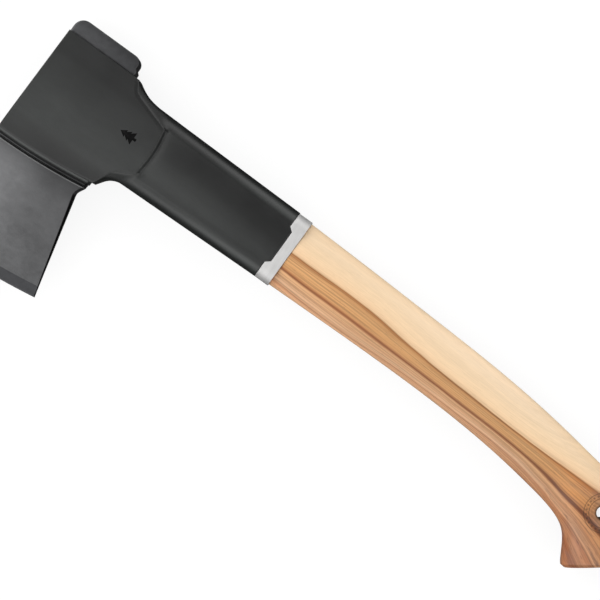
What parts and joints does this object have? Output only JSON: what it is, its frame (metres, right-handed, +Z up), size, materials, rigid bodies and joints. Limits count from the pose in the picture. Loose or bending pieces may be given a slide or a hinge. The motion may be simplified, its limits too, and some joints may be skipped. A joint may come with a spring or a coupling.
{
  "type": "hatchet",
  "caption": "Hatchet with a forged head held in a black composite neck, a metal collar and a curved wooden handle with a hanging hole in its knob.",
  "frame": {"origin": "middle of the bottom of the whole tool's box, with the hatchet lying on its side", "axes": "+X along the handle from the head to the knob, +Y towards the poll and away from the cutting edge, +Z up through the thickness; the mid-plane is 17 mm up"},
  "size_m": [0.4438, 0.1514, 0.034],
  "materials": {
    "dark_steel": "satin",
    "black_composite": "matte",
    "collar_metal": "satin",
    "hickory": "satin",
    "bond": "gloss"
  },
  "bodies": {
    "root": {"steel_head": "dark_steel", "neck_moulding": "black_composite", "collar_ring": "collar_metal", "handle": "hickory", "tenon_adhesive": "bond"}
  },
  "joints": []
}
